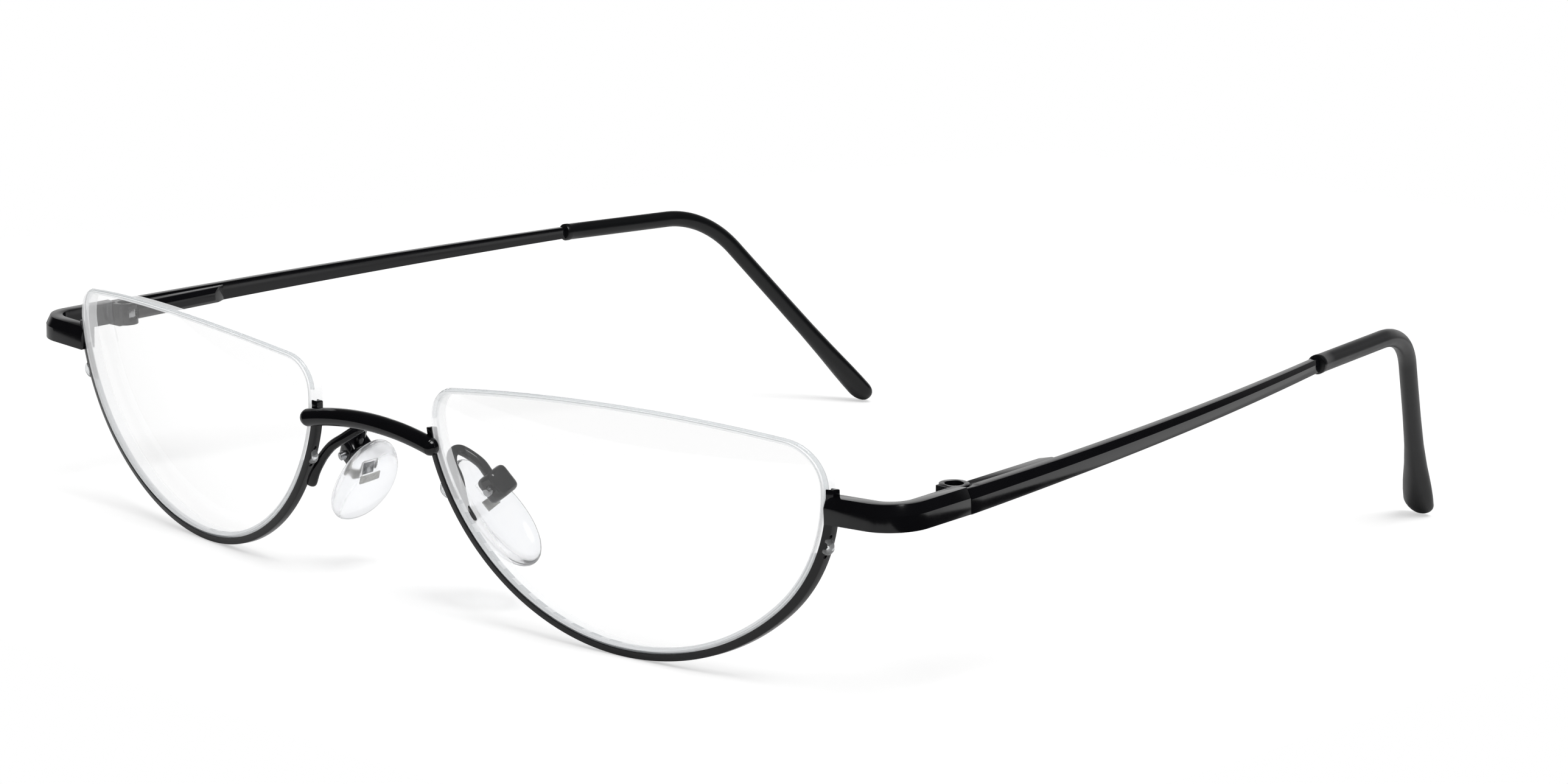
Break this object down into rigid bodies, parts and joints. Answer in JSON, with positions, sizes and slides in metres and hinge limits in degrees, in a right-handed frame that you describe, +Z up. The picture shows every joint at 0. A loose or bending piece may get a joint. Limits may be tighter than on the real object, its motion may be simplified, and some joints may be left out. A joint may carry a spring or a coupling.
{
  "type": "half-rim reading glasses",
  "caption": "Half-rim reading glasses: clear lenses held by a black metal lower rim and a nylon line, with sprung folding temples and adjustable nose pads.",
  "frame": {"origin": "on the surface that the open glasses stand on, midway between the left and right side and midway between the front of the bridge and the back of the temple tips", "axes": "+X towards the wearer's left, -Y the way the glasses face, +Y along the temples to their tips, +Z up"},
  "size_m": [0.1406, 0.15, 0.03],
  "materials": {
    "black_metal": "gloss",
    "lens_clear": "polished",
    "clear_line": "gloss",
    "clear_strip": "gloss",
    "tip_black": "gloss",
    "steel": "bright",
    "pad_clear": "gloss",
    "pad_grey": "satin"
  },
  "bodies": {
    "front": {"bridge": "black_metal", "left_rim": "black_metal", "left_rim_liner": "clear_strip", "left_lens": "lens_clear", "left_lens_line": "clear_line", "left_endpiece": "black_metal", "left_pad_arm": "black_metal", "left_pad_box": "black_metal", "left_pad_screw": "steel", "right_rim": "black_metal", "right_rim_liner": "clear_strip", "right_lens": "lens_clear", "right_lens_line": "clear_line", "right_endpiece": "black_metal", "right_pad_arm": "black_metal", "right_pad_box": "black_metal", "right_pad_screw": "steel"},
    "left_screw": {"left_hinge_screw": "steel"},
    "left_eye": {"left_hinge_eye": "steel"},
    "left_temple": {"left_hinge_housing": "black_metal", "left_spring_stop": "steel", "left_flex_spring": "steel", "left_temple": "black_metal", "left_temple_tip": "tip_black"},
    "left_pad": {"left_nose_pad": "pad_clear", "left_pad_plate": "pad_grey"},
    "right_screw": {"right_hinge_screw": "steel"},
    "right_eye": {"right_hinge_eye": "steel"},
    "right_temple": {"right_hinge_housing": "black_metal", "right_spring_stop": "steel", "right_flex_spring": "steel", "right_temple": "black_metal", "right_temple_tip": "tip_black"},
    "right_pad": {"right_nose_pad": "pad_clear", "right_pad_plate": "pad_grey"}
  },
  "joints": [
    {"name": "left_flex", "type": "hinge", "parent": "front", "child": "left_screw", "pos_m": [0.0673, -0.05435, 0.0219], "axis": [0, -0.0776, 0.997], "range_deg": [-12, 0], "stiffness_Nm_per_rad": 0.2},
    {"name": "left_fold", "type": "hinge", "parent": "left_screw", "child": "left_eye", "pos_m": [0.0673, -0.05435, 0.0219], "axis": [0, -0.0776, 0.997], "range_deg": [0, 84]},
    {"name": "left_plunger", "type": "slide", "parent": "left_eye", "child": "left_temple", "axis": [0, 0.997, 0.0776], "range_m": [0, 0.00065]},
    {"name": "left_pad_tilt", "type": "hinge", "parent": "front", "child": "left_pad", "pos_m": [0.0115, -0.06507, 0.0146], "axis": [-0.2354, 0.9361, 0.2613], "range_deg": [-10, 10]},
    {"name": "right_flex", "type": "hinge", "parent": "front", "child": "right_screw", "pos_m": [-0.0673, -0.05435, 0.0219], "axis": [0, 0.0776, -0.997], "range_deg": [-12, 0], "stiffness_Nm_per_rad": 0.2},
    {"name": "right_fold", "type": "hinge", "parent": "right_screw", "child": "right_eye", "pos_m": [-0.0673, -0.05435, 0.0219], "axis": [0, 0.0776, -0.997], "range_deg": [0, 78]},
    {"name": "right_plunger", "type": "slide", "parent": "right_eye", "child": "right_temple", "axis": [0, 0.997, 0.0776], "range_m": [0, 0.00065]},
    {"name": "right_pad_tilt", "type": "hinge", "parent": "front", "child": "right_pad", "pos_m": [-0.0115, -0.06507, 0.0146], "axis": [0.2354, 0.9361, 0.2613], "range_deg": [-10, 10]}
  ],
  "couplings": [
    {"joint": "left_plunger", "follows": "left_flex", "m_per_rad": -0.002943},
    {"joint": "right_plunger", "follows": "right_flex", "m_per_rad": -0.002943}
  ]
}
